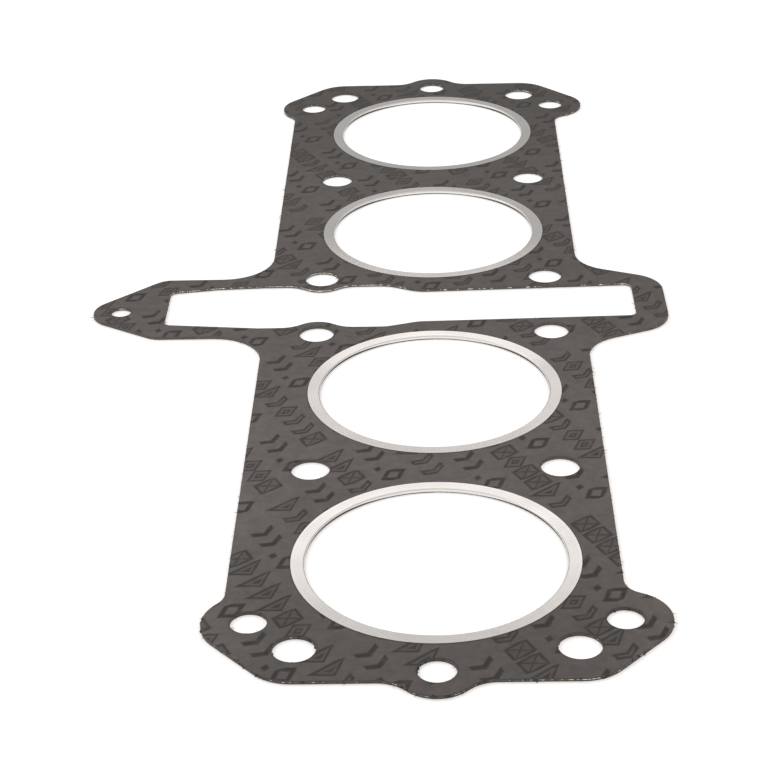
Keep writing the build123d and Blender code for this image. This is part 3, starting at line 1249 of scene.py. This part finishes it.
    def hairs(self, material: bpy.types.Material) -> Recipe:
        """Torn fibres, which stand out of the cut edges here and there.

        Args:
            material: The torn fibre's material.

        Returns:
            The recipe, ready to run on a path.
        """
        recipe = Recipe("edge fibres", {"Spacing": self.hair_spacing * MM, "Length": self.hair_length * MM,
                                        "Radius": self.hair_radius * MM, "Depth": 2 * self.plan.sheet_half * MM,
                                        "Share": self.hair_share, "Seed": self.seed, "Finish": material})
        hair = recipe.node("GeometryNodeMeshCone", {}, {
            "Vertices": self.hair_corners, "Radius Top": recipe.given("Radius") * self.hair_tip,
            "Radius Bottom": recipe.given("Radius"), "Depth": recipe.given("Length")})
        least_spread = tuple(-side for side in self.hair_spread)
        spread = recipe.random(least_spread, self.hair_spread, Draw.HAIR_AIM, "FLOAT_VECTOR")
        aim = recipe.vector("ADD", recipe.outward(), spread)
        rotation = recipe.node("FunctionNodeAlignRotationToVector", {"axis": "Z"}, {"Vector": aim})
        drop = recipe.joined(0.0, 0.0, recipe.random(*self.hair_depth, Draw.HAIR_DROP) * recipe.given("Depth"))
        points = recipe.node("GeometryNodeSetPosition", {}, {"Geometry": recipe.points_along(), "Offset": drop})
        instances = recipe.node("GeometryNodeInstanceOnPoints", {}, {
            "Points": points, "Selection": recipe.chosen(Draw.HAIR_CHOICE, self.hair_clump), "Instance": hair,
            "Rotation": rotation,
            "Scale": recipe.random(*self.hair_sides, Draw.HAIR_SIZE, "FLOAT_VECTOR")})
        recipe.close(instances, recipe.given("Depth") * 0.5)
        return recipe

    def slivers(self, material: bpy.types.Material) -> Recipe:
        """Slivers of core steel, which catch the light in the cut edges.

        Args:
            material: The slivers' material.

        Returns:
            The recipe, ready to run on a path.
        """
        recipe = Recipe("edge slivers", {"Spacing": self.sliver_spacing * MM, "Length": self.sliver_length * MM,
                                         "Half height": self.plan.core_half * MM,
                                         "Drop": self.plan.sheet_half * MM,
                                         "Share": self.sliver_share, "Seed": self.seed, "Finish": material})
        sliver = recipe.node("GeometryNodeMeshIcoSphere", {}, {"Radius": 1.0, "Subdivisions": 1})
        wander = recipe.random(*self.sliver_wander, Draw.SLIVER_WANDER) * recipe.given("Half height")
        drop = recipe.joined(0.0, 0.0, wander - recipe.given("Drop"))
        points = recipe.node("GeometryNodeSetPosition", {}, {"Geometry": recipe.points_along(), "Offset": drop})
        rotation = recipe.node("FunctionNodeAlignRotationToVector", {"axis": "Y"}, {"Vector": recipe.outward()})
        _, y, _ = recipe.place()
        in_slot = y.ramp(*self.slot_start) * y.ramp(*self.slot_end)
        length = recipe.random(*self.sliver_lengths, Draw.SLIVER_LENGTH) * recipe.given("Length")
        length = length * (in_slot * self.slot_stretch + 1.0)
        height = recipe.random(*self.sliver_heights, Draw.SLIVER_HEIGHT) * recipe.given("Half height")
        height = height * (in_slot * self.slot_height + 1.0)
        weight = in_slot * self.slot_gain + y.ramp(*self.rough_end) * self.sliver_end_gain + self.sliver_least
        instances = recipe.node("GeometryNodeInstanceOnPoints", {}, {
            "Points": points, "Selection": recipe.chosen(Draw.SLIVER_CHOICE, self.sliver_clump, weight),
            "Instance": sliver, "Rotation": rotation,
            "Scale": recipe.joined(length, height * self.sliver_flatness, height)})
        recipe.close(instances, recipe.given("Drop"))
        return recipe


@dataclass
class Studio:
    """White floor, soft sky light and the camera at the photograph's angle."""

    camera_place: Vector3 = (0.0019, -0.6054, 0.3001)
    camera_aim: Vector3 = (-0.0152, -0.0530, 0.0)
    camera_roll: float = -1.70
    lens: float = 97.69
    sensor: float = 36.0
    clip: Span = (0.01, 100.0)
    floor_half: float = 20.0
    floor_drop: float = 0.02
    floor_grey: float = 0.86
    floor_glow: float = 0.38
    sky_plain: float = 0.82
    sky_low: float = 0.42
    sky_high: float = 1.15
    sky_step: Span = (0.45, 0.57)
    band_end: Span = (0.88, 0.68)
    sky_front: Span = (-0.15, 0.25)
    sky_warmth: Span = (0.28, 0.50)
    sky_left: float = 0.15
    sky_cool: Colour = tone(1.0, 1.0, 0.985)
    sky_warm: Colour = tone(1.0, 0.95, 0.915)
    lamp_place: Vector3 = (-0.9, 0.5, 1.3)
    lamp_size: float = 0.9
    lamp_power: float = 2.0

    def build(self) -> None:
        """Makes the floor, the lights and the camera."""
        self.make_floor()
        self.make_sky()
        self.make_lamp()
        self.make_camera()
        bpy.context.scene.view_settings.view_transform = "Standard"

    def make_floor(self) -> None:
        """A white floor just under the rings, which keeps a soft shadow."""
        level = CAD_BOX[0].z - self.floor_drop * MM
        half = self.floor_half
        mesh = bpy.data.meshes.new("floor")
        mesh.from_pydata([(-half, -half, level), (half, -half, level), (half, half, level), (-half, half, level)],
                         [], [(0, 1, 2, 3)])
        material = bpy.data.materials.new("white_floor")
        material.use_nodes = True
        tree = Tree(material.node_tree)
        material.node_tree.nodes.remove(material.node_tree.nodes["Principled BSDF"])
        matt = tree.node("ShaderNodeBsdfDiffuse", {}, {"Color": tone(*(self.floor_grey,) * 3)})
        rays = tree.node("ShaderNodeLightPath").socket.node.outputs
        seen = Wire(tree, rays["Is Camera Ray"]) + Wire(tree, rays["Is Glossy Ray"])
        seen = (seen + Wire(tree, rays["Is Transmission Ray"])).low(1.0)
        glow = tree.node("ShaderNodeEmission", {}, {"Strength": seen * self.floor_glow})
        shade = tree.node("ShaderNodeAddShader", {}, {0: matt, 1: glow})
        output = material.node_tree.nodes["Material Output"]
        tree.feed(output.inputs["Surface"], shade)
        mesh.materials.append(material)
        floor = bpy.data.objects.new("floor", mesh)
        bpy.context.scene.collection.objects.link(floor)

    def make_sky(self) -> None:
        """Soft even light, with a bright band beyond the object, dim under it, and a little more on the left."""
        world = bpy.data.worlds.new("studio")
        bpy.context.scene.world = world
        world.use_nodes = True
        tree = Tree(world.node_tree)
        direction = tree.node("ShaderNodeTexCoord", {}, {}, "Generated")
        x, y, z = tree.split(direction)
        ahead = y.ramp(*self.sky_front)
        step = z.ramp(*self.sky_step)
        band = step * z.ramp(*self.band_end) * ahead
        dim = (1.0 - step) * ahead
        level = self.sky_plain + band * (self.sky_high - self.sky_plain) - dim * (self.sky_plain - self.sky_low)
        strength = level * (1.0 - x * self.sky_left)
        background = world.node_tree.nodes["Background"]
        colour = tree.blend(z.ramp(*self.sky_warmth), self.sky_cool, self.sky_warm)
        tree.feed(background.inputs["Color"], colour)
        tree.feed(background.inputs["Strength"], strength)

    def make_lamp(self) -> None:
        """A large soft lamp from the upper left."""
        data = bpy.data.lights.new("soft_lamp", "AREA")
        data.energy = self.lamp_power
        data.size = self.lamp_size
        lamp = bpy.data.objects.new("soft_lamp", data)
        lamp.location = self.lamp_place
        lamp.rotation_mode = "QUATERNION"
        lamp.rotation_quaternion = (-Vector(self.lamp_place)).to_track_quat("-Z", "Y")
        bpy.context.scene.collection.objects.link(lamp)

    def make_camera(self) -> None:
        """The camera, as far away and as long as the photograph's perspective asks."""
        data = bpy.data.cameras.new("camera")
        data.lens = self.lens
        data.sensor_width = self.sensor
        data.clip_start, data.clip_end = self.clip
        camera = bpy.data.objects.new("camera", data)
        camera.location = self.camera_place
        view = (Vector(self.camera_aim) - Vector(self.camera_place)).to_track_quat("-Z", "Y")
        camera.rotation_mode = "QUATERNION"
        camera.rotation_quaternion = view @ Quaternion((0, 0, 1), math.radians(self.camera_roll))
        bpy.context.scene.collection.objects.link(camera)
        bpy.context.scene.camera = camera


def dress_node(name: str, material: bpy.types.Material) -> None:
    """Gives a node of the frame its finish.

    Args:
        name: The node's name.
        material: The finish.
    """
    node = frame["nodes"][name]
    node.data.materials.clear()
    node.data.materials.append(material)
    report(node)


def report(piece: bpy.types.Object) -> None:
    """Logs a piece's name, size and number of faces."""
    log.info("%s: %d faces, %s mm", piece.name, len(piece.data.polygons),
             " x ".join(f"{side / MM:.2f}" for side in piece.dimensions))


def main() -> None:
    """Builds the gasket's looks and the studio."""
    logging.basicConfig(level=logging.INFO, format="%(name)s: %(message)s")
    plan = SheetPlan.from_frame(frame)
    for part in (Laminate(plan), BoreRings(plan), CutEdges(plan), Studio()):
        part.build()


if __name__ == "__main__":
    main()
